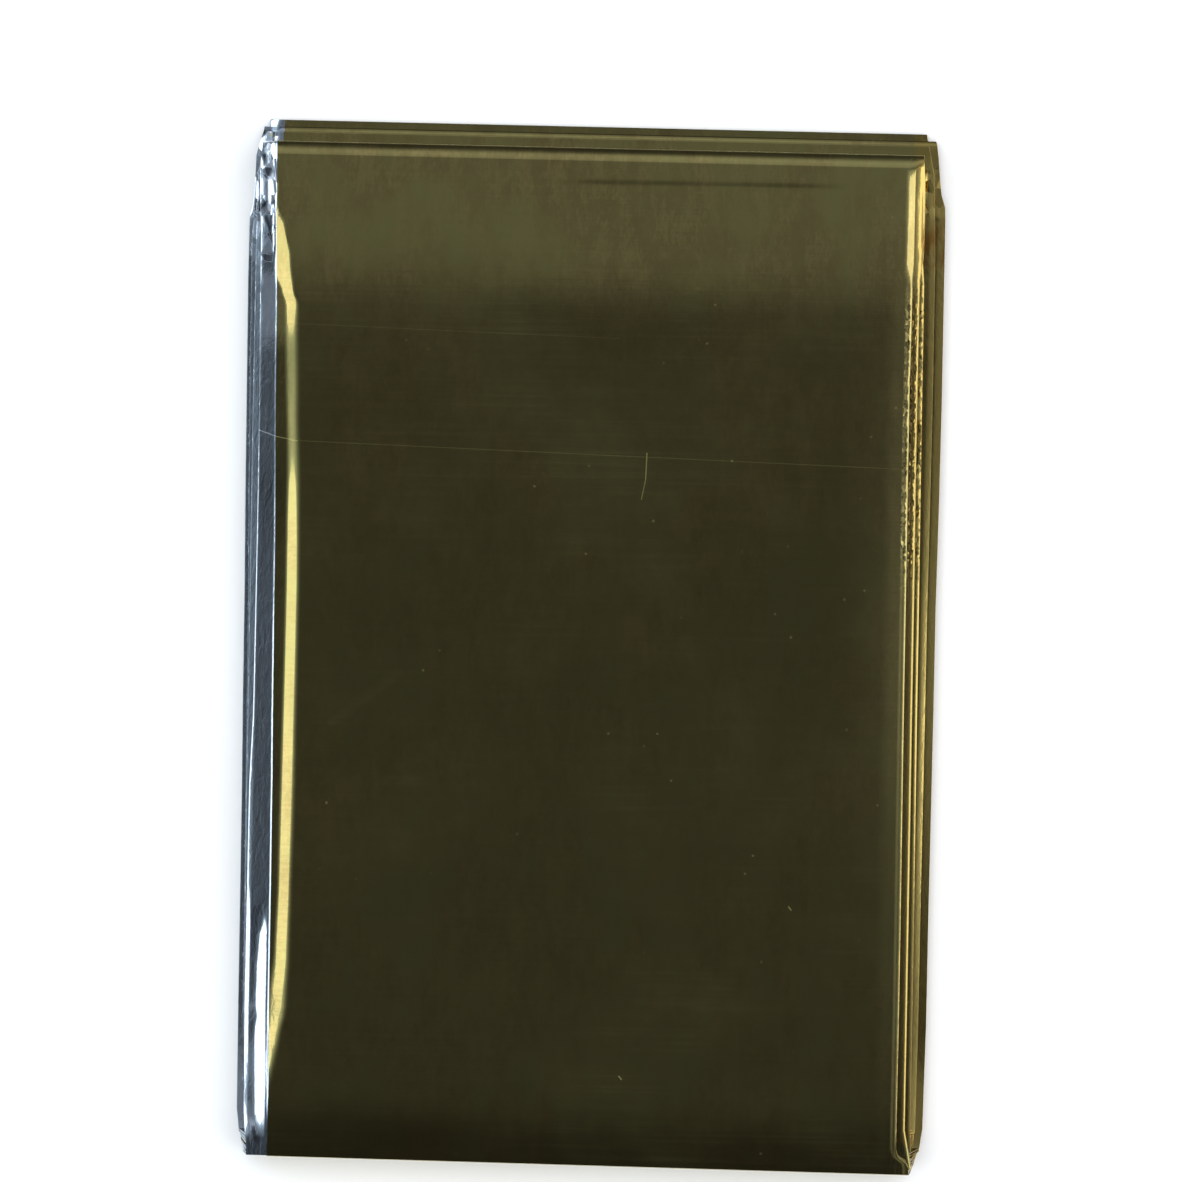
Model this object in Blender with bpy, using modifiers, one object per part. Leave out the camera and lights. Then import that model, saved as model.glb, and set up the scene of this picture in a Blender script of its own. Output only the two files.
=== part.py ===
"""Emergency foil blanket, folded into a flat pad.

A sheet of metallised film, 1.60 x 2.10 m, is folded to and fro across its width into a strip, and
the strip is then halved along its length, over and over. The solid is one section of that fold,
made of one sheet: a strip of two plies in four layers, where each ply stands for forty of the film.
The pad lies flat with +Z up. +Y is its back, where the loose ends and the smaller fold show, and +X
is the side with the folds of the strip. The origin is under the middle of the pad.
"""

import math
from collections import namedtuple

import bmesh
import bpy

MM = 0.001

# The film sheet, and the panel that it is folded down to.
SHEET_WIDTH = 1600 * MM
SHEET_LENGTH = 2100 * MM
PLIES_ACROSS = 20
LAYERS_ALONG = 16
HALF_PANEL_WIDTH = SHEET_WIDTH / PLIES_ACROSS / 2
HALF_PANEL_LENGTH = SHEET_LENGTH / LAYERS_ALONG / 2

# The modelled section: a strip of two plies, in four layers.
PLY = 1.10 * MM
PLY_GAP = 0.35 * MM
LAYER_GAP = 0.40 * MM
STRIP = 2 * PLY + PLY_GAP
PITCH = STRIP + LAYER_GAP
SIDE_FOLD_RADIUS = (PLY + PLY_GAP) / 2

# Where the folds and the strip's two loose ends lie along Y.
FRONT_FOLD_Y = -HALF_PANEL_LENGTH - 0.8 * MM
BACK_FOLD_Y = HALF_PANEL_LENGTH - 2.0 * MM
FIRST_END_Y = HALF_PANEL_LENGTH + 1.0 * MM
LAST_END_Y = HALF_PANEL_LENGTH - 0.3 * MM

# One row for each layer, in the order in which the strip runs through the pad. Level 0 lies on the
# floor. The other columns say how far the layer's edges stand out beyond the panel's half width, at
# the pad's back and at its front, in mm: right is the side fold, face and inner are the free edges
# of the strip's outer and inner ply, on the left, and left_bow is added to those halfway along.
Layer = namedtuple(
    "Layer",
    "level right_back right_front face_back face_front inner_back inner_front left_bow",
)
LAYERS = (
    Layer(0, 4.2, 3.4, 4.3, 3.8, 3.9, 3.3, 0.8),
    Layer(3, -0.3, 0.8, 0.9, 0.1, 3.7, 1.7, 0.0),
    Layer(2, 1.2, 2.0, 4.0, 2.9, 3.3, 1.5, 0.4),
    Layer(1, 2.6, 3.2, 4.1, 3.4, 4.4, 3.6, 0.6),
)

# Towards the back the side folds draw in, which rounds that corner of the pad.
CORNER_TUCK = 1.3 * MM
CORNER_TUCK_START_Y = BACK_FOLD_Y - 7.2 * MM
CORNER_TUCK_LENGTH = 9 * MM

# The pad is slightly askew: how much its back and front lean towards -Y for each metre of +X.
BACK_LEAN = 0.004
FRONT_LEAN = 0.011

# How the pad settles. Each drop is the share of the height that is lost at that edge, over a reach.
BACK_DROP, BACK_REACH = 0.045, 24 * MM
FRONT_DROP, FRONT_REACH = 0.020, 18 * MM
LEFT_DROP, LEFT_REACH = 0.034, 2.2 * MM
RIGHT_DROP, RIGHT_REACH = 0.018, 8 * MM
WAVE, WAVE_LENGTH = 0.008, 96 * MM

# How finely the sheet is divided, as shares of a layer's length and of a ply's width.
RUN_SHARES = (0, 0.04, 0.1, 0.2, 0.36, 0.52, 0.68, 0.82, 0.92, 1)
PLY_SHARES = (0, 0.022, 0.05, 0.2, 0.42, 0.64, 0.84, 0.95, 1)
SIDE_FOLD_STEPS = 6
SMALL_FOLD_STEPS = 8
LARGE_FOLD_STEPS = 14

FOIL_COLOR = (0.62, 0.47, 0.16, 1)
FOIL_ROUGHNESS = 0.15


def mix(start, end, share):
    return start + (end - start) * share


def ease(share):
    """0 below 0 and 1 above 1, with a smooth turn between."""
    share = min(1.0, max(0.0, share))
    return share * share * (3 - 2 * share)


def level_height(level):
    """The middle of the strip, between its two plies."""
    return STRIP / 2 + level * PITCH


def layer_edges(layer, y):
    """X of the strip's side fold and of its two free edges, at a place along one layer."""
    share = (y - FRONT_FOLD_Y) / (BACK_FOLD_Y - FRONT_FOLD_Y)
    bow = layer.left_bow * math.sin(math.pi * min(1.0, share))
    tuck = CORNER_TUCK * ease((y - CORNER_TUCK_START_Y) / CORNER_TUCK_LENGTH)
    right = HALF_PANEL_WIDTH + mix(layer.right_front, layer.right_back, share) * MM
    face = HALF_PANEL_WIDTH + (mix(layer.face_front, layer.face_back, share) + bow) * MM
    inner = HALF_PANEL_WIDTH + (mix(layer.inner_front, layer.inner_back, share) + bow) * MM
    return right - tuck, -face, -inner


def run_rows(layer, start, end):
    """Rows of one flat layer. A row is the strip's place along Y and Z, its heading and its edges."""
    heading = 0.0 if end > start else math.pi
    rows = []
    for share in RUN_SHARES:
        y = mix(start, end, share)
        rows.append((y, level_height(layer.level), heading, layer_edges(layer, y)))
    return rows


def fold_rows(before, after, y, steps):
    """Rows round the half turn between two layers, without the two rows that it shares with them."""
    low, high = level_height(before.level), level_height(after.level)
    radius = abs(high - low) / 2
    first_heading = 0.0 if y > 0 else math.pi
    turn = 1 if (high > low) == (y > 0) else -1
    start, end = layer_edges(before, y), layer_edges(after, y)
    rows = []
    for step in range(1, steps):
        share = step / steps
        heading = first_heading + turn * math.pi * share
        place_y = y + turn * radius * math.sin(heading)
        place_z = (low + high) / 2 - turn * radius * math.cos(heading)
        edges = [mix(a, b, ease(share)) for a, b in zip(start, end)]
        rows.append((place_y, place_z, heading, edges))
    return rows


def strip_rows():
    """The strip's whole route through the pad, from its first loose end to its last."""
    floor, top, upper, lower = LAYERS
    front = FRONT_FOLD_Y + (3 * PITCH + STRIP) / 2
    back = BACK_FOLD_Y - (PITCH + STRIP) / 2
    return (
        run_rows(floor, FIRST_END_Y, front)
        + fold_rows(floor, top, front, LARGE_FOLD_STEPS)
        + run_rows(top, front, back)
        + fold_rows(top, upper, back, SMALL_FOLD_STEPS)
        + run_rows(upper, back, front)
        + fold_rows(upper, lower, front, SMALL_FOLD_STEPS)
        + run_rows(lower, front, LAST_END_Y)
    )


def strip_section(edges):
    """The strip from face edge to inner edge, as (X, distance out from the strip's middle)."""
    right, face_edge, inner_edge = edges
    straight = right - PLY / 2 - SIDE_FOLD_RADIUS
    section = [(mix(face_edge, straight, share), SIDE_FOLD_RADIUS) for share in PLY_SHARES]
    for step in range(1, SIDE_FOLD_STEPS):
        angle = math.pi / 2 - math.pi * step / SIDE_FOLD_STEPS
        section.append(
            (straight + SIDE_FOLD_RADIUS * math.cos(angle), SIDE_FOLD_RADIUS * math.sin(angle))
        )
    for share in reversed(PLY_SHARES):
        section.append((mix(inner_edge, straight, share), -SIDE_FOLD_RADIUS))
    return section


def settle(x, y, z):
    """Moves a point of the evenly folded pad to its place in the pad as it lies."""
    to_back = max(0.0, 1 - (BACK_FOLD_Y - y) / BACK_REACH)
    to_front = max(0.0, 1 - (y - FRONT_FOLD_Y) / FRONT_REACH)
    lost = (
        BACK_DROP * to_back**2
        + FRONT_DROP * to_front**2
        + LEFT_DROP * ease(1 - (x + HALF_PANEL_WIDTH) / LEFT_REACH)
        + RIGHT_DROP * ease(1 - (HALF_PANEL_WIDTH - x) / RIGHT_REACH)
        + WAVE * math.cos(2 * math.pi * (y + x / 2) / WAVE_LENGTH)
    )
    backness = ease((y - FRONT_FOLD_Y) / (BACK_FOLD_Y - FRONT_FOLD_Y))
    lean = mix(FRONT_LEAN, BACK_LEAN, backness)
    floor_ply = PLY / 2
    return x, y - lean * x, floor_ply + (z - floor_ply) * (1 - lost)


def make_foil():
    """Gold, mirror-bright film."""
    foil = bpy.data.materials.new("gold_foil")
    foil.use_nodes = True
    shader = foil.node_tree.nodes["Principled BSDF"]
    shader.inputs["Base Color"].default_value = FOIL_COLOR
    shader.inputs["Metallic"].default_value = 1.0
    shader.inputs["Roughness"].default_value = FOIL_ROUGHNESS
    return foil


def make_blanket(collection):
    """Folds a flat grid into the pad, row by row, and thickens it to the ply."""
    rows = strip_rows()
    sections = [strip_section(edges) for _, _, _, edges in rows]
    columns = len(sections[0])
    sheet = bmesh.new()
    bmesh.ops.create_grid(sheet, x_segments=columns - 1, y_segments=len(rows) - 1, size=1)
    for index, vertex in enumerate(sheet.verts):
        row, column = divmod(index, columns)
        y, z, heading, _ = rows[row]
        x, out = sections[row][column]
        vertex.co = settle(x, y - out * math.sin(heading), z + out * math.cos(heading))

    mesh = bpy.data.meshes.new("foil_blanket")
    sheet.to_mesh(mesh)
    sheet.free()
    mesh.materials.append(make_foil())
    mesh.shade_smooth()
    blanket = bpy.data.objects.new("foil_blanket", mesh)
    collection.objects.link(blanket)
    wall = blanket.modifiers.new("ply", "SOLIDIFY")
    wall.thickness = PLY
    wall.offset = 0
    wall.use_even_offset = True
    return blanket


def centre_on_origin(blanket):
    """Slides the mesh so that the finished pad's middle lies over the origin."""
    depsgraph = bpy.context.evaluated_depsgraph_get()
    corners = blanket.evaluated_get(depsgraph).bound_box
    shift_x = -(corners[0][0] + corners[6][0]) / 2
    shift_y = -(corners[0][1] + corners[6][1]) / 2
    for vertex in blanket.data.vertices:
        vertex.co.x += shift_x
        vertex.co.y += shift_y


def main():
    for old in list(bpy.data.objects):
        bpy.data.objects.remove(old, do_unlink=True)
    collection = bpy.data.collections.new("emergency_foil_blanket")
    bpy.context.scene.collection.children.link(collection)
    centre_on_origin(make_blanket(collection))


main()
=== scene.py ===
import math
import random

import bmesh
import bpy
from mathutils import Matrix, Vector


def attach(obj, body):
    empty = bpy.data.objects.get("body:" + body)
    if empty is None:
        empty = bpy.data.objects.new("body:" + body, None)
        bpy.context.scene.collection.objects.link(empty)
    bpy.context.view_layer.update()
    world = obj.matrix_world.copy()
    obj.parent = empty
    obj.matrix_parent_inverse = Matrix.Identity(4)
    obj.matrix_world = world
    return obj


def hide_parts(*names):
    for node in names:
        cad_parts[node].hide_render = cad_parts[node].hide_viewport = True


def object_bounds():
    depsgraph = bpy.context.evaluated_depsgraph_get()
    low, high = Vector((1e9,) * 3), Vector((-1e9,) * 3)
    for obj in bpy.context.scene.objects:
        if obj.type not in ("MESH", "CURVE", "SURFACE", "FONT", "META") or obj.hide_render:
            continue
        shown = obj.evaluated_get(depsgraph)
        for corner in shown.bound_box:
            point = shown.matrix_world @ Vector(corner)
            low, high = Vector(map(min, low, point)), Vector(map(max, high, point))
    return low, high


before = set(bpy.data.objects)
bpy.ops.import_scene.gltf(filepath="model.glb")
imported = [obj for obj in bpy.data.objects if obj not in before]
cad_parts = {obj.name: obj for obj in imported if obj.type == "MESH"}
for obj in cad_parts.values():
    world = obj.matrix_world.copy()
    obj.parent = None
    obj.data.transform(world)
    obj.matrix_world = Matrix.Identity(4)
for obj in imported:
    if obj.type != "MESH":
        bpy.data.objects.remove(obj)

cadLow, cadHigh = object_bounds()
mm = 0.001


def mix(start, end, share):
    return start + (end - start) * share


def ease(share):
    share = min(1.0, max(0.0, share))
    return share * share * (3 - 2 * share)


def along(stops, place):
    # the value at a place, from (place, value) stops in rising order, with soft turns between them
    if place <= stops[0][0]:
        return stops[0][1]
    for (before, low), (after, high) in zip(stops, stops[1:]):
        if place <= after:
            return mix(low, high, ease((place - before) / (after - before)))
    return stops[-1][1]


class Flow:
    # wraps one socket, so that shader maths reads as a sum
    def __init__(self, tree, socket=None):
        self.tree = tree
        self.socket = socket

    def make(self, kind, settings, sockets, out=0):
        node = self.tree.nodes.new(kind)
        for name, value in settings.items():
            setattr(node, name, value)
        for name, value in sockets.items():
            if isinstance(value, Flow):
                self.tree.links.new(value.socket, node.inputs[name])
            else:
                node.inputs[name].default_value = value
        return Flow(self.tree, node.outputs[out])

    def math(self, operation, *values):
        return self.make("ShaderNodeMath", {"operation": operation}, dict(enumerate(values)))

    def vector(self, operation, *values, out=0):
        return self.make("ShaderNodeVectorMath", {"operation": operation}, dict(enumerate(values)), out)

    def blendColor(self, share, first, second):
        node = self.tree.nodes.new("ShaderNodeMix")
        node.data_type = "RGBA"
        for index, value in ((0, share), (6, first), (7, second)):
            if isinstance(value, Flow):
                self.tree.links.new(value.socket, node.inputs[index])
            elif index:
                node.inputs[index].default_value = (*value, 1)
            else:
                node.inputs[index].default_value = value
        return Flow(self.tree, node.outputs[2])

    def rise(self, start, end):
        # 0 up to start and 1 from end on
        return self.make(
            "ShaderNodeMapRange",
            {"interpolation_type": "SMOOTHSTEP"},
            {"Value": self, "From Min": start, "From Max": end, "To Min": 0.0, "To Max": 1.0},
        )

    def fall(self, start, end):
        return 1 - self.rise(start, end)

    def stretch(self, *sizes):
        return self.vector("MULTIPLY", self, sizes)

    def noise(self, detail, rough, distortion=0.0):
        return self.make("ShaderNodeTexNoise", {}, {
            "Vector": self, "Scale": 1.0, "Detail": detail, "Roughness": rough, "Distortion": distortion,
        })

    def cells(self, out=0):
        return self.make("ShaderNodeTexVoronoi", {}, {"Vector": self, "Scale": 1.0}, out)

    def facets(self):
        # crumpled film: cells that each lean their own way
        shade = self.cells(out=1)
        middle = Flow(self.tree, shade.socket.node.outputs[2])
        lean = self.vector("SUBTRACT", shade, (0.5, 0.5, 0.5))
        return self.vector("DOT_PRODUCT", lean, self.vector("SUBTRACT", self, middle), out=1)

    def split(self):
        node = self.make("ShaderNodeSeparateXYZ", {}, {0: self}).socket.node
        return [Flow(self.tree, node.outputs[axis]) for axis in range(3)]

    def __add__(self, other):
        return self.math("ADD", self, other)

    __radd__ = __add__

    def __sub__(self, other):
        return self.math("SUBTRACT", self, other)

    def __rsub__(self, other):
        return self.math("SUBTRACT", other, self)

    def __mul__(self, other):
        return self.math("MULTIPLY", self, other)


film = {  # mm
    "width": 1600,
    "length": 2100,
    "thickness": 0.012,
    "pliesAcross": 20,
    "layersAlong": 16,
    "layerPitch": 0.727,
    "floorLayer": 0.276,  # height of the lowest layer's middle
    "faceOut": 0.27,  # from a layer's middle to its outer gold ply
    "faceGap": 0.05,  # from that ply to the next
    "looseGap": 0.13,  # and to the third
    "plyGap": 0.022,  # between the others
    "foldOverhang": 0.012,
    "foldJitter": 0.08,
    "seed": 11,
}

pad = {  # mm, before the pad is centred over the origin
    "halfWidth": 40.0,
    "frontCrest": -66.38,
    "backCrest": {2: 66.0, 4: 65.3, 8: 63.95},  # by the lowest layer of each set of back folds
    "looseEnds": (66.7, 66.9),  # where layers 0 and 1 end
    "square": {"front": 60.0, "back": 60.0, "under": 3.6},  # 2 is a round roll, more has a tighter crease
    "backLean": 0.004,
    "frontLean": 0.011,
    "backDrop": 0.80,
    "backReach": 20.0,
    # each from y, to y, and its slope at the pad's full height
    "backFacets": ((62.3, 62.55, 0.25), (62.55, 63.6, 0.20), (63.6, 64.0, 0.45), (65.4, 66.1, 1.3),
                   (66.15, 67, 0.5)),
    "frontDrop": 0.22,
    "rightDrop": [(-60, 0.10), (-40, 0.2), (0, 0.38), (45, 0.3), (60, 0.12)],  # of the pile, by y
    "rightReach": 7.0,
    "rightOut": 0.3,  # how far outside the half width that drop is whole
    "rightStep": {"drop": 0.035, "inset": 0.68, "reach": 0.2, "end": 48},  # a crease just inside that edge
    "pileSag": 0.92,  # how far the pile's left side has sunk from its two outermost plies
    "sagStart": -37.0,
    "sagReach": 3.5,
    "frontReach": 9.0,
    "underStep": 0.12,  # the layers below a group's uppermost one lie this much further in
    "turnStart": (-63.5, 1.4),  # y where the sides begin to come down, and over what length
    "turnEnd": (62.9, 1.6),
    "mostTurn": 0.55,  # share of a group's height that its sides may lose
    "ledgeStart": 2.9,  # how far outside the half width the left ledges begin to slope
}

# The stack settles in groups of layers, from the floor up. Each table runs from the pad's front to its
# back: y, and how far the group's right folds, left folds or left cut edges stand out past the half width.
# A turn is how a side comes down: reach, drop and power. leftSlope is that of the ledge left of the pile.
groups = [
    {
        "layers": 4,
        "right": [(-66, 2.6), (-64.5, 3.0), (-62.6, 3.6), (-58, 4.05), (-45, 4.0), (3, 4.2), (31, 4.49),
                  (57, 4.5), (60, 3.8), (64, 3.5), (65.4, 3.3), (66.2, 2.8), (66.8, 2.1)],
        "fold": [(-66, 3.8), (-60, 4.38), (-46, 4.44), (-30, 4.46), (0, 4.62), (30, 4.85), (45, 4.95),
                 (54, 4.9), (57, 4.35), (62, 4.2), (64, 3.8), (65.9, 3.2), (66.9, 2.6)],
        "cut": [(-66, 2.0), (60, 2.0), (63, 0.6), (66.8, 0.6)],
        "rightTurn": (1.0, [(-45, 0.02), (-20, 0.09), (3, 0.17), (25, 0.12), (57, 0.12)], 1.2),
        "leftTurn": (0.12, 0.01, 2.0),
        "leftSlope": 0.03,
    },
    {
        "layers": 4,
        "right": [(-66, 2.4), (-62, 2.75), (-45, 2.9), (3, 3.05), (31, 3.22), (50, 3.2), (58, 3.06),
                  (62, 2.9), (65.3, 2.2)],
        "fold": [(-66, 3.1), (-46, 3.8), (0, 4.05), (30, 4.4), (50, 4.5), (58, 4.1), (62, 3.6), (65, 2.8)],
        "cut": [(-66, 2.0), (60, 2.0), (63, 0.7), (66.8, 0.7)],
        "rightTurn": (0.8, [(-45, 0.13), (-20, 0.21), (3, 0.19), (31, 0.10)], 1.35),
        "leftTurn": (0.12, 0.01, 2.0),
        "leftSlope": 0.04,
    },
    {
        "layers": 4,
        "right": [(-66, 2.3), (-60, 2.08), (-45, 2.08), (3, 1.93), (31, 1.82), (47, 1.8), (52, 1.5),
                  (64, 1.4)],
        "fold": [(-66, 2.9), (-46, 3.6), (-20, 3.8), (30, 3.9), (50, 3.9), (60, 3.7), (64, 3.2)],
        "cut": [(-66, 1.8), (58, 1.8), (62, 0.9)],
        "rightTurn": (0.35, [(-45, 0.06), (3, 0.12), (31, 0.05), (47, 0.1)], 1.6),
        "leftTurn": (0.12, 0.01, 2.0),
        "leftSlope": 0.05,
    },
    {
        "layers": 3,
        "right": [(-66, 2.3), (-64.9, 2.2), (-63.4, 1.35), (-45, 1.35), (3, 1.27), (31, 1.16), (47, 1.2),
                  (52, 1.72), (60, 1.74), (63.7, 1.5)],
        "fold": [(-66, 2.6), (-46, 3.2), (-20, 3.4), (-8, 2.9), (50, 3.0), (60, 3.2), (64, 3.0)],
        "cut": [(-66, 1.2), (64, 1.6)],
        "rightTurn": ([(47, 0.3), (51, 0.9)], [(47, 0.09), (51, 0.36)], [(47, 2.0), (51, 1.15)]),
        "leftTurn": (0.3, 0.0, 2.0),
        "leftSlope": 0.0,
    },
    {
        "layers": 1,
        "right": [(-66, 1.9), (-65.1, 1.9), (-63.5, 0.26), (-60, 0.26), (-45, 0.30), (3, 0.18), (31, 0.13),
                  (47, 0.25), (51, 0.42), (61.9, 0.44), (62.8, 1.5)],
        "fold": [(-66, 2.9), (-60, 3.3), (-46, 3.45), (-20, 3.4), (-8, 3.05), (20, 3.0), (50, 3.2), (60, 3.5),
                 (64, 3.2)],
        "cut": [(-66, 0.2), (-58, 0.18), (-46, 0.33), (-32, 0.36), (-19, 0.42), (-7, 0.54), (7, 0.62),
                (40, 0.98), (56, 1.3), (64, 1.35)],
        "rightTurn": ([(47, 0.3), (50, 1.0)], [(0, 0.06), (30, 0.09), (47, 0.09), (50, 0.40)],
                      [(47, 2.0), (50, 1.12)]),
        "leftTurn": ([(-36, 0.5), (-30, 0.2)],
                     [(-58, 0.03), (-50, 0.19), (-36, 0.19), (-30, 0.05), (15, 0.03), (30, 0.003),
                      (52, 0.02)],
                     [(-36, 1.1), (-30, 2.0)]),
        "leftSlope": 0.0,
    },
]

# The top of the pile comes down on the left in one long curl, then runs level to the cut edge.
curl = {
    "top": [(-58, -40.15), (-54.5, -39.5), (-51, -38.65), (-47, -37.9), (-41, -37.7), (-32, -37.62),
            (-19, -37.4), (7, -37.36), (20, -37.48), (31, -37.8), (43, -38.1), (44.8, -38.8),
            (49, -39.2), (53, -40.0), (56, -41.0)],
    "foot": [(-58, -40.6), (-51, -40.45), (-45, -40.2), (-41, -39.7), (-31, -39.4), (7, -39.15), (20, -39.25),
             (43, -39.9), (44.5, -40.3), (46.5, -41.3), (56, -41.55)],
    "depth": [(-60, 0.0), (-58, 0.06), (-51, 0.52), (-45, 0.66), (12, 0.66), (25, 0.385), (38, 0.40),
              (47, 0.84), (51, 0.72), (56.5, 0.08), (60, 0.0)],
    "soft": [(12, 0.7), (24, 0.75), (41, 0.7), (46, 0.4)],  # mm over which it starts
    "levels": 0.86,  # share of its depth where it begins to level out
    "ledgeSlope": 0.05,  # of the silver ledge beyond the cut edge
    "lipReach": 0.2,  # the silver just outside the cut edge dips
    "lipDrop": [(-62, 0.0), (-59.5, 0.08), (-10, 0.08), (10, 0.05), (28, 0.03), (44, 0.05)],
}

# Creases in the silver ledge, each a straight ridge: from x, y to x, y, half width and height.
creases = [
    (-43.9, 63.2, -43.1, 61.2, 0.55, 0.26),
    (-42.5, 59.5, -42.45, 55.6, 1.12, 0.42),
    (-41.65, 56.6, -41.5, 49.6, 0.24, 0.11),
    (-43.35, 55.0, -42.1, 52.2, 0.20, 0.09),
    (-43.7, 55.8, -43.5, 54.3, 0.25, 0.10),
    (-42.7, 50.6, -41.8, 50.1, 0.22, 0.08),
    (-43.4, 45.0, -42.9, 43.7, 0.28, 0.11),
    (-42.9, -61.6, -41.9, -63.3, 0.45, 0.20),
]

# In the lower left the ledge leans over from the cut edge to a bent crease: y, and the crease's x.
leanLedge = {
    "crease": [(-63, -41.7), (-60, -41.95), (-50, -42.1), (-48.5, -41.85), (-47, -42.05), (-42, -41.95),
               (-38, -41.7), (-36.3, -41.3), (-30, -41.7), (50, -42.2), (63, -42.3)],
    "inset": 0.45,  # outside the cut edge
    "slope": 0.42,
    "start": -35.6,
    "end": -62.6,
}


def foldOrder(layers):
    # halves the strip over and over: which length of it lies in each layer, from the floor up
    stacks = [[layer] for layer in range(layers)]
    while len(stacks) > 1:
        half = len(stacks) // 2
        stacks = [stacks[i] + stacks[-1 - i][::-1] for i in range(half)]
    return stacks[0]


def layerMiddle(layer):
    return film["floorLayer"] + film["layerPitch"] * layer


def plyOut(ply):
    # how far a ply lies out of its layer's middle, towards the gold face
    out = film["faceOut"]
    if ply > 0:
        out -= film["faceGap"]
    if ply > 1:
        out -= film["looseGap"] + film["plyGap"] * (ply - 2)
    return out


def backRoll(layer):
    # y and height of the middle of the back folds that a layer belongs to
    lowest = 8 if layer >= 8 else 4 if layer >= 4 else 2
    highest = 2 * lowest - 1
    height = (layerMiddle(lowest) + layerMiddle(highest)) / 2
    radius = layerMiddle(highest) + film["faceOut"] - height
    return pad["backCrest"][lowest] - radius, height


def frontRoll():
    height = layerMiddle((film["layersAlong"] - 1) / 2)
    return pad["frontCrest"] + height, height


def edges(layer, y):
    # x of a layer's right folds, left folds and cut edges
    group = groupOf[layer]
    right, fold, cut = (pad["halfWidth"] + along(group[name], y) for name in ("right", "fold", "cut"))
    under = pad["underStep"] if layer not in topLayers else 0.0
    return right - under, -fold + under, -cut


# Places across a ply, from its left to its right. Between the fold, the crease, the cut edge and the
# right edge, they are spaced as shares of what lies beyond these distances from them.
stationEnds = {"fold": 0.62, "crease": 0.07, "cut": 0.52, "right": 3.2}
slopeSteps = [("slope", step / 10) for step in range(11)]
facePly = [("cut", 0), ("cut", 0.08), ("cut", 0.2), *slopeSteps]
facePly += [("middle", share) for share in (0.08, 0.18, 0.28, 0.44, 0.6, 0.76, 0.9)]
rightSteps = [("right", inset) for inset in (3.2, 2.0, 1.3, 1.05, 0.85, 0.68, 0.52, 0.38, 0.25, 0.12, 0)]
facePly += rightSteps
nextPly = [("fold", inset) for inset in (0, 0.06, 0.13, 0.22, 0.36, 0.5, 0.62)]
nextPly += [("ledge", 0.5), ("crease", -0.07), ("crease", 0.07), ("facet", 0.5)]
nextPly += [("cut", inset) for inset in (-0.52, -0.4, -0.3, -0.2, -0.12, -0.05, 0.05, 0.2)]
nextPly += [*slopeSteps, ("middle", 0.28), ("middle", 0.76)]
nextPly += [("right", inset) for inset in (3.2, 1.3, 0.68, 0.25, 0)]
innerPly = [("left", 0), ("slope", 0), ("slope", 1), ("right", 1.3), ("right", 0)]
lastPly = innerPly[:3] + [("right", inset) for inset in (1.3, 0.5, 0.32, 0.15, 0)]


def acrossStations():
    # every column of the grid, in order across the sheet: ply, how it is placed, and how far out it lies
    columns = []
    for ply in range(film["pliesAcross"]):
        places = {0: facePly, 1: nextPly, film["pliesAcross"] - 1: lastPly}.get(ply, innerPly)
        for kind, value in reversed(places) if ply % 2 else places:
            columns.append((ply, kind, value, plyOut(ply)))
        if ply < film["pliesAcross"] - 1:
            kind = "left" if ply % 2 else "right"
            columns.append((ply + 0.5, kind, -film["foldOverhang"], (plyOut(ply) + plyOut(ply + 1)) / 2))
    return columns


def runRows(length, layer, start, end):
    # rows of one flat layer
    stops = rowStops.get(layer, (0, 0.46, 0.86, 1))
    if end < start:
        stops = [1 - share for share in reversed(stops)]
    up = 1 if length % 2 else -1
    return [{"layer": layer, "y": mix(start, end, share), "up": up} for share in stops]


def rollShape(share, end):
    # how far across and up a half turn of radius 1 is, from the middle of its top to that of its foot
    square = pad["square"][end if share < 0.5 else "under"]
    corner = 0.5 ** (1 / square)
    quarter = 4 * min(share, 1 - share)  # 1 at the corner, 2 at the crest
    if quarter < 1:
        across = corner * (1 - (1 - quarter) ** 2)
        up = (1 - across ** square) ** (1 / square)
    else:
        up = corner * (1 - (quarter - 1) ** 2)
        across = (1 - up ** square) ** (1 / square)
    return across, math.copysign(up, 0.5 - share)


def rollRows(before, after, counts):
    # rows round the half turn between two layers, without the two that it shares with them
    front = (before + after) == film["layersAlong"] - 1
    y, height = frontRoll() if front else backRoll(min(before, after))
    radius = abs(layerMiddle(before) - layerMiddle(after)) / 2
    upper, lower = max(before, after), min(before, after)
    shares = [share / 4 for share in rollStops.get((before, after), ())]
    shares = shares or [step / counts[0] / 4 for step in range(1, counts[0])]
    for quarter in (1, 2, 3):
        shares += [(quarter + step / counts[quarter]) / 4 for step in range(counts[quarter])]
    rows = [{
        "layer": upper if share < 0.5 else lower,
        "between": (upper, lower, ease(2 * share - 0.5)),
        "roll": (y, height, radius, rollShape(share, "front" if front else "back"), -1 if front else 1),
        "up": 1 if upper in goldUpLayers else -1,
    } for share in shares]
    return rows if before > after else rows[::-1]


def rowPlace(row, out):
    # y and height in the stack of a ply that lies so far out, on one row
    if "roll" not in row:
        return row["y"], layerMiddle(row["layer"]) + row["up"] * out
    y, height, radius, (across, up), side = row["roll"]
    radius += row["up"] * out
    return y + side * radius * across, height + radius * up


def rowEdges(row, y):
    if "between" not in row:
        return edges(row["layer"], y)
    upper, lower, share = row["between"]
    return [mix(a, b, share) for a, b in zip(edges(upper, y), edges(lower, y))]


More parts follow.
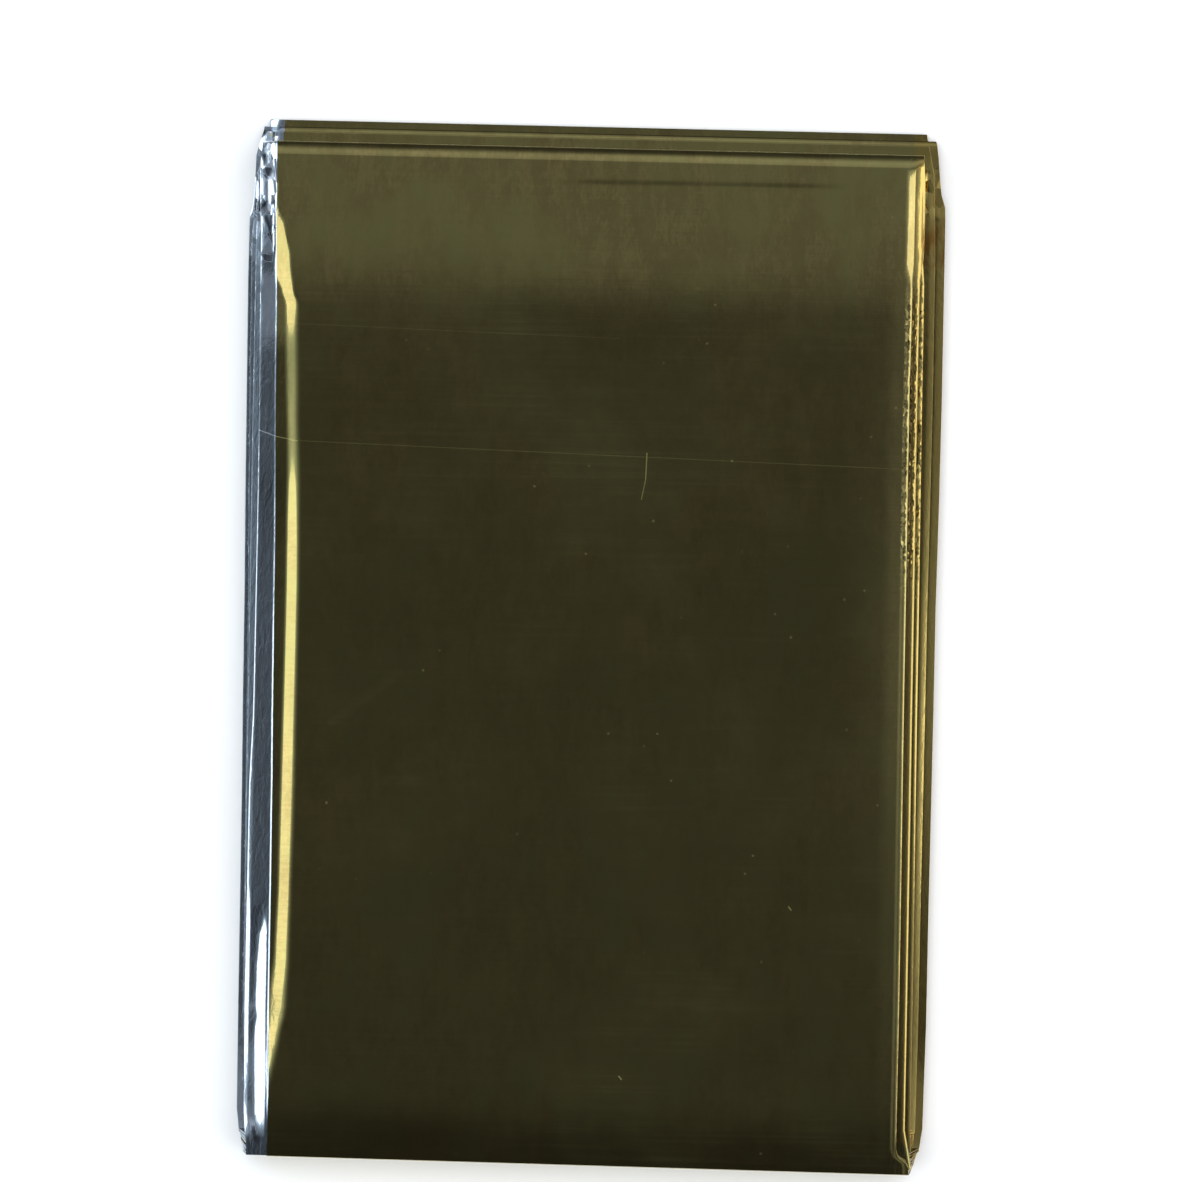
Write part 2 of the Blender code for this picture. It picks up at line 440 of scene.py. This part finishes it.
def sheetRows():
    # the strip's whole route through the pad, from its first loose end to its last
    layers = [order.index(length) for length in range(film["layersAlong"])]
    front = frontRoll()[0]
    rows = []
    for length, layer in enumerate(layers):
        back = pad["looseEnds"][layer] if layer < 2 else backRoll(layer)[0]
        start, end = (front, back) if length % 2 else (back, front)
        rows += runRows(length, layer, start, end)
        if length < film["layersAlong"] - 1:
            after = layers[length + 1]
            rows += rollRows(layer, after, rollCounts.get((layer, after), (1, 1, 1, 1)))
    return rows


def spacedStops(*parts):
    # shares of a run's length, from (share, rows up to it) parts
    stops, last = [0.0], 0.0
    for share, count in parts:
        stops += [mix(last, share, step / count) for step in range(1, count + 1)]
        last = share
    return stops


topLayer = film["layersAlong"] - 1
order = foldOrder(film["layersAlong"])
goldUpLayers = {layer for layer, length in enumerate(order) if length % 2}
groupOf = [group for group in groups for layer in range(group["layers"])]
topLayers = (3, 7, 11, 14, 15)  # the uppermost of each group
rowStops = {  # from the pad's front to its back
    14: spacedStops((0.85, 6), (1, 7)),
    15: spacedStops((0.10, 7), (0.24, 13), (0.66, 12), (0.85, 11), (1, 28)),
    11: spacedStops((0.85, 8), (1, 8)),
    7: spacedStops((0.85, 8), (1, 8)),
    3: spacedStops((0.85, 8), (1, 12)),
}
rollStops = {(15, 8): (0.15, 0.2144, 0.2423, 0.395, 0.655, 0.70, 0.87)}  # in the first quarter of a roll
rollCounts = {(0, 15): (8, 5, 4, 3), (15, 8): (7, 4, 3, 2), (7, 4): (5, 3, 2, 2), (3, 2): (4, 3, 2, 2)}

groupFloor, groupThick = [], []
for number, group in enumerate(groups):
    under = sum(other["layers"] for other in groups[:number])
    groupFloor.append(layerMiddle(under - 0.5) if under else 0.0)
    groupThick.append(layerMiddle(under + group["layers"] - 0.5) - groupFloor[-1])
pileFloor = layerMiddle(11.5)  # the pile is the two uppermost groups
pileThick = layerMiddle(topLayer) + film["faceOut"] - pileFloor


def turnDrop(distance, y, turn):
    reach, drop, power = (along(value, y) if isinstance(value, list) else value for value in turn)
    return drop * max(0.0, 1 - max(0.0, distance) / reach) ** power


def curlDrop(x, y):
    # how far the top of the pile has come down on its left slope
    top, foot, full, soft = (along(curl[name], y) for name in ("top", "foot", "depth", "soft"))
    reach, most = top - x, top - foot
    if reach <= 0 or full <= 0:
        return 0.0
    slope = full / max(soft / 2, most - soft / 2)
    down = slope * (reach * reach / (2 * soft) if reach < soft else reach - soft / 2)
    levels = curl["levels"]
    if down > full * levels:
        over = (down - full * levels) / (full * 2 * (1 - levels))
        down = full * (levels + (1 - levels) * (1 - max(0.0, 1 - over) ** 2))
    return down


def creaseRise(x, y):
    # the listed creases, highest along their middles
    rise = 0.0
    overrun, fade = 0.15, 0.25  # as shares of a crease's length
    for startX, startY, endX, endY, half, height in creases:
        alongX, alongY = endX - startX, endY - startY
        length = math.hypot(alongX, alongY)
        share = ((x - startX) * alongX + (y - startY) * alongY) / length ** 2
        if -overrun < share < 1 + overrun:
            away = abs((x - startX) * alongY - (y - startY) * alongX) / length
            ends = ease((share + overrun) / fade) * ease((1 + overrun - share) / fade)
            rise = max(rise, height * max(0.0, 1 - away / half) * ends)
    return rise


def looseRise(x, y, cut, face):
    # what the two outermost plies do on their own, above the pile
    rise = creaseRise(x, y) if x < cut + 0.1 else 0.0
    if not face and x < cut:
        rise -= curl["ledgeSlope"] * (cut - x)
        rise -= along(curl["lipDrop"], y) * ease((cut - x) / curl["lipReach"])
        strength = ease((leanLedge["start"] - y) / 0.7) * ease((y - leanLedge["end"]) / 0.5)
        if strength > 0:
            crease = along(leanLedge["crease"], y)
            rise -= strength * leanLedge["slope"] * max(0.0, cut - leanLedge["inset"] - max(x, crease))
    return rise


def settle(x, y, height, loose, sides):
    # moves a point of the evenly folded stack to its place in the pad as it lies
    z = 0.0
    (startY, startReach), (endY, endReach) = pad["turnStart"], pad["turnEnd"]
    turned = ease((y - startY) / startReach) * ease((endY - y) / endReach)
    step = pad["rightStep"]
    for number, (group, (right, fold)) in enumerate(zip(groups, sides)):
        part = min(groupThick[number], max(0.0, height - groupFloor[number]))
        if part <= 0:
            break
        lost = turnDrop(right - x, y, group["rightTurn"]) + turnDrop(x - fold, y, group["leftTurn"])
        lost *= turned
        lost += group["leftSlope"] * max(0.0, -pad["halfWidth"] - pad["ledgeStart"] - x)
        if group is groups[-1] and y < step["end"]:
            lost += step["drop"] * ease((x - right + step["inset"]) / step["reach"])
        z += part * (1 - min(pad["mostTurn"], lost / groupThick[number]))
    onPile = min(1.0, max(0.0, (height - pileFloor) / pileThick))
    z -= onPile * curlDrop(x, y)
    toRight = max(0.0, 1 - (pad["halfWidth"] + pad["rightOut"] - x) / pad["rightReach"])
    z -= onPile * along(pad["rightDrop"], y) * toRight ** 2
    z -= (1 - loose) * onPile * pad["pileSag"] * ease((pad["sagStart"] - x) / pad["sagReach"])
    toBack = max(0.0, 1 - (backRoll(8)[0] - y) / pad["backReach"])
    toFront = max(0.0, 1 - (y - pad["frontCrest"]) / pad["frontReach"])
    whole = layerMiddle(topLayer) + film["faceOut"]
    lost = pad["backDrop"] * toBack ** 2 + pad["frontDrop"] * toFront ** 2
    lost += sum(slope * min(end - start, max(0.0, y - start)) for start, end, slope in pad["backFacets"])
    return z * (1 - lost / whole)


def columnPlace(column, right, fold, cut, crease, slopeFrom, slopeTo):
    ply, kind, value, _ = column
    if kind == "left":
        kind = "cut" if ply in (0, film["pliesAcross"] - 1) else "fold"
    if kind == "cut":
        return cut + value
    if kind == "fold":
        return fold + value
    if kind == "ledge":
        return mix(fold + stationEnds["fold"], crease - stationEnds["crease"], value)
    if kind == "crease":
        return crease + value
    if kind == "facet":
        return mix(crease + stationEnds["crease"], cut - stationEnds["cut"], value)
    if kind == "right":
        return right - value
    if kind == "slope":
        return mix(slopeFrom, slopeTo, value)
    return mix(slopeTo, right - stationEnds["right"], value)


def foldFilm():
    # a flat grid, moved row by row to its place in the folded pad, and then centred where the CAD pad is
    columns, rows = acrossStations(), sheetRows()
    wild = random.Random(film["seed"])
    grid = bmesh.new()
    bmesh.ops.create_grid(grid, x_segments=len(columns) - 1, y_segments=len(rows) - 1, size=1)
    grid.verts.ensure_lookup_table()
    spread = {}
    for layer in range(film["layersAlong"]):
        for ply in range(film["pliesAcross"]):
            calm = 0.0 if ply < 2 else film["foldJitter"]
            spread[layer, ply] = (wild.uniform(0, 2 * calm), wild.uniform(-2 * calm, 0))
    highest = layerMiddle(topLayer)
    for number, row in enumerate(rows):
        y = rowPlace(row, 0)[0]
        right, fold, cut = rowEdges(row, y)
        slopeFrom = max(along(curl["foot"], y) - 0.25, cut + 0.35)
        slopeTo = max(along(curl["top"], y) + 0.3, slopeFrom + 1.2)
        topCut = edges(topLayer, y)[2]
        crease = max(fold + 0.85, min(along(leanLedge["crease"], y), cut - 0.75))
        for place, column in enumerate(columns):
            ply = int(column[0])
            jitter = spread[row["layer"], ply]
            if column[0] != ply:  # a fold moves with both of its plies
                jitter = [(a + b) / 2 for a, b in zip(jitter, spread[row["layer"], ply + 1])]
            x = columnPlace(column, right + jitter[1], fold + jitter[0], cut, crease, slopeFrom, slopeTo)
            rowY, height = rowPlace(row, column[3])
            if place == 0 or "roll" in row:
                sides = [edges(layer, rowY)[:2] for layer in topLayers]
            outermost = column[0] < 2 and row["layer"] == topLayer
            loose = ease((height - highest + 1.0) / 0.9) if outermost else 0.0
            z = settle(x, rowY, height, loose, sides)
            if loose > 0:
                z += loose * looseRise(x, rowY, topCut, column[0] < 1)
            lean = mix(pad["frontLean"], pad["backLean"], ease((rowY + 66) / 130))
            grid.verts[number * len(columns) + place].co = Vector((x, rowY - lean * x, z)) * mm
    low = Vector([min(vert.co[axis] for vert in grid.verts) for axis in range(3)])
    high = Vector([max(vert.co[axis] for vert in grid.verts) for axis in range(3)])
    shift = (cadLow + cadHigh - low - high) / 2
    shift.z = 0
    bmesh.ops.translate(grid, verts=grid.verts, vec=shift)
    return grid, columns, rows, shift


bakeMap = {"gold": (0.006, 0.79), "silver": (0.804, 0.994), "down": (0.006, 0.994), "rim": 0.003}


def addMaps(mesh, columns, rows):
    # UVMap is the flat sheet, 1.6 m by 2.1 m. OFBake gives the faces that show the most room.
    flatX, flatY = [0.0], [0.0]
    gold, silver, down = [0.0], [0.0], [0.0]
    verts = mesh.vertices
    wide = len(columns)
    for place in range(1, wide):
        ply = columns[place][0]
        gap = (verts[place].co - verts[place - 1].co).length / mm
        flatX.append(flatX[-1] + gap)
        gold.append(gold[-1] + max(0.22, gap * (1 if ply < 1 else 0.06 if ply < 2 else 0.012)))
        nearFold = ply in (1, 1.5) and columns[place][1] in ("fold", "ledge", "cut", "left")
        silver.append(silver[-1] + max(0.1, gap * (9 if nearFold else 0.2 if ply < 2 else 0.02)))
    for place in range(1, len(rows)):
        row = rows[place]
        middle = wide // 2
        here, there = verts[place * wide + middle].co, verts[(place - 1) * wide + middle].co
        gap = (here - there).length / mm
        flatY.append(flatY[-1] + gap)
        weight = {15: 1.0, 11: 0.10, 7: 0.10, 3: 0.08}.get(row["layer"], 0.02)
        down.append(down[-1] + max(0.3, gap * weight))

    def placed(values, start, end):
        return [mix(start, end, value / values[-1]) for value in values]

    flatX, flatY = placed(flatX, 0, 1), placed(flatY, 0, 1)
    gold, silver = placed(gold, *bakeMap["gold"]), placed(silver, *bakeMap["silver"])
    down = placed(down, *bakeMap["down"])
    half = wide * len(rows)
    flat, bake = mesh.uv_layers.new(name="UVMap"), mesh.uv_layers.new(name="OFBake")
    for face in mesh.polygons:
        inner = [mesh.loops[loop].vertex_index >= half for loop in face.loop_indices]
        rim = any(inner) and not all(inner)
        for loop in face.loop_indices:
            vertex = mesh.loops[loop].vertex_index
            row, column = divmod(vertex % half, wide)
            flat.data[loop].uv = (flatX[column], flatY[row])
            across = silver[column] if all(inner) else gold[column]
            upward = down[row]
            if rim and vertex >= half:  # the cut edge's own strip, beside the gold side
                across += {0: -bakeMap["rim"], wide - 1: bakeMap["rim"]}.get(column, 0)
                upward += {0: -bakeMap["rim"], len(rows) - 1: bakeMap["rim"]}.get(row, 0)
            bake.data[loop].uv = (across, upward)


def makeFilm():
    grid, columns, rows, shift = foldFilm()
    mesh = bpy.data.meshes.new("film")
    grid.to_mesh(mesh)
    grid.free()
    sheet = bpy.data.objects.new("film_sheet", mesh)
    bpy.context.scene.collection.objects.link(sheet)
    mesh.materials.append(foilMaterial("goldSide", goldSide, shift))
    mesh.materials.append(foilMaterial("silverSide", silverSide, shift))
    wall = sheet.modifiers.new("thickness", "SOLIDIFY")
    wall.thickness = film["thickness"] * mm
    wall.offset = 0
    wall.material_offset = 1
    graph = bpy.context.evaluated_depsgraph_get()
    walled = bpy.data.meshes.new_from_object(sheet.evaluated_get(graph))
    sheet.modifiers.clear()
    sheet.data = walled
    bpy.data.meshes.remove(mesh)
    addMaps(walled, columns, rows)
    walled.shade_smooth()
    walled.set_sharp_from_angle(angle=math.radians(30))
    print("film sheet:", len(columns), "columns,", len(rows), "rows,", 2 * len(walled.polygons), "triangles")
    return sheet, shift


goldSide = {
    "color": (0.775, 0.592, 0.217),
    "stain": (0.545, 0.415, 0.15),
    "tint": (0.62, 0.54, 0.19),
    "shine": 0.09,  # roughness of the clean film
    "haze": 0.06,
    "crinkle": 0.9,  # strength of the small creases along the side folds
}
silverSide = {
    "color": (0.88, 0.92, 0.95),
    "stain": (0.76, 0.83, 0.90),
    "tint": (0.84, 0.90, 0.95),
    "shine": 0.08,
    "haze": 0.06,
    "crinkle": 1.6,
}

marks = {  # mm, in the pad's own place
    "creases": [  # from x, y to x, y, half width, how much rougher
        (-43.0, 27.0, -40.8, 26.2, 0.10, 0.30),
        (-40.8, 26.2, -38.0, 25.7, 0.09, 0.30),
        (-38.0, 25.7, 39.8, 23.5, 0.07, 0.10),
        (-41.1, 40.75, 2.9, 39.55, 0.06, 0.06),
        (6.7, 25.0, 6.6, 21.6, 0.09, 0.30),
        (6.6, 21.6, 6.1, 19.0, 0.08, 0.25),
        (4.6, -54.8, 5.0, -55.3, 0.12, 0.30),
        (-7.7, 62.2, -9.4, 56.5, 0.10, 0.05),
        (-9.5, 57.0, -9.5, 49.2, 0.10, 0.06),
        (26.5, 59.6, 27.6, 47.3, 0.12, 0.07),
        (29.75, 57.6, 29.85, 45.7, 0.12, 0.05),
        (-33.5, -10.5, -24.0, -3.5, 0.9, 0.02),
        (25.9, -32.7, 26.3, -33.2, 0.12, 0.30),
    ],
    "speckRough": 0.16,
    "streakRough": 0.03,
    "topZone": (42, 50),  # where the drawn streaks turn along the pad
    "browned": ((41.2, 44.5), (48.8, 56.0)),  # deeper gold on the lower folds near the back: x, y
    "brown": (0.55, 0.28, 0.06),
    "paintedFoldReflectionGold": (0.76, 0.53, 0.14),  # painted reflection: deeper gold on the right folds, where they mirror each other
    "gaps": ((40.3, 40.8), (41.95, 42.4)),  # painted shade: brown where two folds shade each other, in x
    "stripe": {"along": (58.9, 60.3), "start": (-10, 0), "end": (26, 38), "rise": 1.9},  # near the back
    "foldLines": ((39.3, 39.6, 40.3, 40.6), (40.7, 41.0, 41.7, 42.0)),  # the two that sparkle, in x
    "sparkling": ((6, 14), (42, 50)),  # and where they do, in y
}


def foilMaterial(name, look, shift):
    foil = bpy.data.materials.new(name)
    foil.use_nodes = True
    tree = foil.node_tree
    shader = tree.nodes["Principled BSDF"]
    start = Flow(tree)
    place = start.make("ShaderNodeTexCoord", {}, {}, out=3).stretch(1000, 1000, 1000)
    place = place.vector("SUBTRACT", place, tuple(shift * 1000))
    x, y, z = place.split()

    # drawn streaks, thin clouds and specks
    clouds = place.stretch(0.045, 0.06, 0.06).noise(5, 0.62).rise(0.32, 0.75)
    patches = place.stretch(0.07, 0.05, 0.07).noise(3, 0.6, 0.5).rise(0.4, 0.65)
    acrossStreaks = place.stretch(0.035, 2.6, 1.7).noise(4, 0.6)
    alongStreaks = place.stretch(1.5, 0.03, 1.5).noise(4, 0.6)
    atTop = y.rise(*marks["topZone"])
    streaks = acrossStreaks * (1 - atTop * 0.5) + alongStreaks * (atTop * 0.3)
    smears = place.stretch(0.5, 0.16, 0.5).noise(3, 0.6, 0.4)
    dusty = place.stretch(0.19, 0.19, 0.19).noise(1, 0.5).rise(0.53, 0.6)
    specks = place.stretch(0.33, 0.33, 0.33).cells().fall(0.03, 0.09) * dusty
    grain = place.stretch(2.6, 1.1, 1.0).noise(4, 0.7).rise(0.3, 0.7)
    rough = look["shine"] + clouds * look["haze"] + streaks.rise(0.42, 0.72) * marks["streakRough"]
    rough = rough + smears.rise(0.55, 0.8) * 0.015 + specks * marks["speckRough"]
    lines = 0
    for startX, startY, endX, endY, half, rougher in marks["creases"]:
        alongX, alongY = endX - startX, endY - startY
        length = math.hypot(alongX, alongY)
        away = (x - startX) * (alongY / length) - (y - startY) * (alongX / length)
        share = (x - startX) * (alongX / length ** 2) + (y - startY) * (alongY / length ** 2)
        line = away.math("ABSOLUTE", away).fall(half * 0.3, half)
        lines = line * share.rise(-0.01, 0.01) * share.fall(0.99, 1.01) * rougher + lines
    rough = rough + lines
    drawn = streaks.rise(0.35, 0.65) + grain + smears.rise(0.35, 0.65)
    worn = clouds * 0.3 + drawn * (atTop * 0.25 + 0.35)
    tone = start.blendColor(worn, look["color"], look["stain"])
    mottled = place.stretch(0.3, 0.2, 0.3).noise(5, 0.7, 0.4).rise(0.35, 0.65)
    tone = start.blendColor(patches * 0.5 + mottled * 0.4, tone, look["tint"])
    (leftX, rightX), (lowY, highY) = marks["browned"]
    browned = x.rise(leftX, leftX + 0.5) * y.rise(lowY, lowY + 2) * y.fall(highY - 3, highY)
    browned = browned * place.stretch(0.9, 0.35, 0.9).noise(2, 0.5).rise(0.35, 0.6)
    onFolds = y.rise(-63.5, -62.5)
    # painted shade: the gaps between the right folds are added to the brown mask
    for leftX, rightX in marks["gaps"]:
        gap = x.rise(leftX, leftX + 0.1) * x.fall(rightX - 0.1, rightX) * y.fall(44, 48) * z.rise(8, 8.2)
        browned = browned + gap * onFolds * 0.5
    if look is goldSide:
        # painted reflection: the right folds are tinted deeper gold where they mirror each other
        tone = start.blendColor(x.rise(40.0, 40.8) * onFolds * 0.7, tone, marks["paintedFoldReflectionGold"])
        # blends in brown: the patch near the back, and the painted shade in the gaps
        tone = start.blendColor(browned, tone, marks["brown"])

    # small creases along both sides, most of all at the corners and on the middle of the right side
    nearSide = x.math("ABSOLUTE", x).rise(38.6, 40.5)
    first, second = (x.rise(*line[:2]) * x.fall(*line[2:]) for line in marks["foldLines"])
    starts, stops = marks["sparkling"]
    sparkling = (first + second) * y.rise(*starts) * y.fall(*stops)
    crumpled = x.fall(-42.2, -41.0) * (y.rise(54, 55.5) * 0.75 + y.rise(48, 50) * 0.25)
    crumpled = crumpled + x.rise(41.6, 42.2) * y.rise(55.5, 57) * y.fall(61.5, 62.5) * 0.5
    ridges = place.stretch(1.5, 0.5, 1.5).noise(3, 0.55, 0.6)
    beads = place.stretch(2.2, 1.6, 0.5).facets()
    facets = place.stretch(0.75, 0.5, 0.3).facets()
    crinkle = ridges * 0.7 + beads * (sparkling * 5.0) + facets * (crumpled * 20.0)
    dents = place.stretch(0.11, 0.08, 0.11).noise(2, 0.5)
    fine = place.stretch(0.9, 0.9, 0.9).noise(2, 0.5)
    band = marks["stripe"]
    stripe = y.rise(*band["along"]) * x.rise(*band["start"]) * x.fall(*band["end"])
    height = dents + stripe * band["rise"] + fine * 0.06 + streaks * 0.05
    height = height + crinkle * (nearSide * look["crinkle"]) + lines * 0.4
    bump = start.make("ShaderNodeBump", {}, {"Strength": 1.0, "Distance": 0.00003, "Height": height})
    shader.inputs["Metallic"].default_value = 1.0
    tree.links.new(tone.socket, shader.inputs["Base Color"])
    tree.links.new(rough.socket, shader.inputs["Roughness"])
    tree.links.new(bump.socket, shader.inputs["Normal"])
    return foil


sheet, shift = makeFilm()
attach(sheet, "root")
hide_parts("foil_blanket")

studio = {
    "floor": 3.0,  # metres across
    "floorColor": (0.90, 0.90, 0.89),
    "overhead": 0.042,  # brightness of the dark ceiling that the flat film mirrors
    "ring": 0.6,  # and of the wall all round
    "steps": [  # of the ceiling's brightness: towards which side, from, to and by how much
        ("left", 0.03, 0.14, 0.028),
        ("left", 0.14, 0.32, 0.12),
        ("left", 0.32, 0.58, 0.38),
        ("right", 0.03, 0.32, 0.12),
        ("right", 0.30, 0.58, 0.32),
        ("back", 0.028, 0.085, 0.098),
        ("back", 0.25, 0.55, 0.18),
        ("front", 0.035, 0.09, -0.025),
        ("back", 0.56, 0.68, -0.28),
    ],
    "neutral": (1.0, 1.11, 1.29),
    "cool": (0.80, 0.98, 1.16),  # towards the left
    "boxPlace": (0.95, 0, 0.80),  # the two side softboxes stand mirrored
    "boxSize": (0.62, 1.6),
    "boxLevel": 0.95,
    "fillSize": (1.5, 1.5),
    "fill": 4.0,
    "fillHeight": 1.7,
    "cameraHeight": 2.0,
    "padTop": 0.011,
    "aim": (-0.00012, 0.0072),  # of the camera, from the pad's own middle
    "photoWidth": 0.1513,  # metres that the picture spans
    "photoTurn": 1.1,  # degrees
}


def makeFloor():
    grid = bmesh.new()
    bmesh.ops.create_grid(grid, x_segments=1, y_segments=1, size=studio["floor"] / 2)
    mesh = bpy.data.meshes.new("floor")
    grid.to_mesh(mesh)
    grid.free()
    paint = bpy.data.materials.new("paleFloor")
    paint.use_nodes = True
    shader = paint.node_tree.nodes["Principled BSDF"]
    shader.inputs["Base Color"].default_value = (*studio["floorColor"], 1)
    shader.inputs["Roughness"].default_value = 0.9
    shader.inputs["Specular IOR Level"].default_value = 0.0
    mesh.materials.append(paint)
    floor = bpy.data.objects.new("floor", mesh)
    bpy.context.scene.collection.objects.link(floor)


def makeSky():
    world = bpy.data.worlds.new("studio")
    bpy.context.scene.world = world
    world.use_nodes = True
    tree = world.node_tree
    start = Flow(tree)
    towards = start.make("ShaderNodeTexCoord", {}, {}, out=0)
    x, y, z = towards.split()
    sides = {"left": 0 - x, "right": x, "front": 0 - y, "back": y}
    level = studio["overhead"]
    for side, begin, end, change in studio["steps"]:
        level = level + sides[side].rise(begin, end) * change
    ring = z.fall(0.2, 0.36) * (1 - (y * y).rise(0.2, 0.8) * 0.75)
    level = level * (1 - ring) + ring * studio["ring"]
    color = start.blendColor(sides["left"].rise(0.03, 0.3), studio["neutral"], studio["cool"])
    tree.links.new(level.socket, tree.nodes["Background"].inputs["Strength"])
    tree.links.new(color.socket, tree.nodes["Background"].inputs["Color"])


def makeLamp(name, place, size, level, seen):
    # level is the brightness of the lamp's own face
    lamp = bpy.data.lights.new(name, "AREA")
    lamp.shape = "RECTANGLE"
    lamp.size, lamp.size_y = size
    lamp.energy = level * size[0] * size[1] * math.pi
    box = bpy.data.objects.new(name, lamp)
    box.location = place
    box.rotation_mode = "QUATERNION"
    box.rotation_quaternion = Vector(place).to_track_quat("Z", "X")
    box.visible_glossy = seen
    bpy.context.scene.collection.objects.link(box)


def makeCamera():
    lens = bpy.data.cameras.new("camera")
    lens.sensor_width = 36
    lens.sensor_fit = "HORIZONTAL"
    lens.lens = 36 * (studio["cameraHeight"] - studio["padTop"]) / studio["photoWidth"]
    lens.clip_start, lens.clip_end = 0.05, 10
    camera = bpy.data.objects.new("camera", lens)
    aimX, aimY = studio["aim"]
    camera.location = (shift.x + aimX, shift.y + aimY, studio["cameraHeight"])
    camera.rotation_euler = (0, 0, math.radians(studio["photoTurn"]))
    bpy.context.scene.collection.objects.link(camera)
    bpy.context.scene.camera = camera


makeFloor()
makeSky()
boxX, boxY, boxZ = studio["boxPlace"]
makeLamp("left_box", (-boxX, boxY, boxZ), studio["boxSize"], studio["boxLevel"], True)
makeLamp("right_box", (boxX, boxY, boxZ), studio["boxSize"], studio["boxLevel"], True)
makeLamp("floor_fill", (0, 0, studio["fillHeight"]), studio["fillSize"], studio["fill"], False)
makeCamera()
bpy.context.scene.view_settings.view_transform = "Standard"
print("floor, light and camera made")
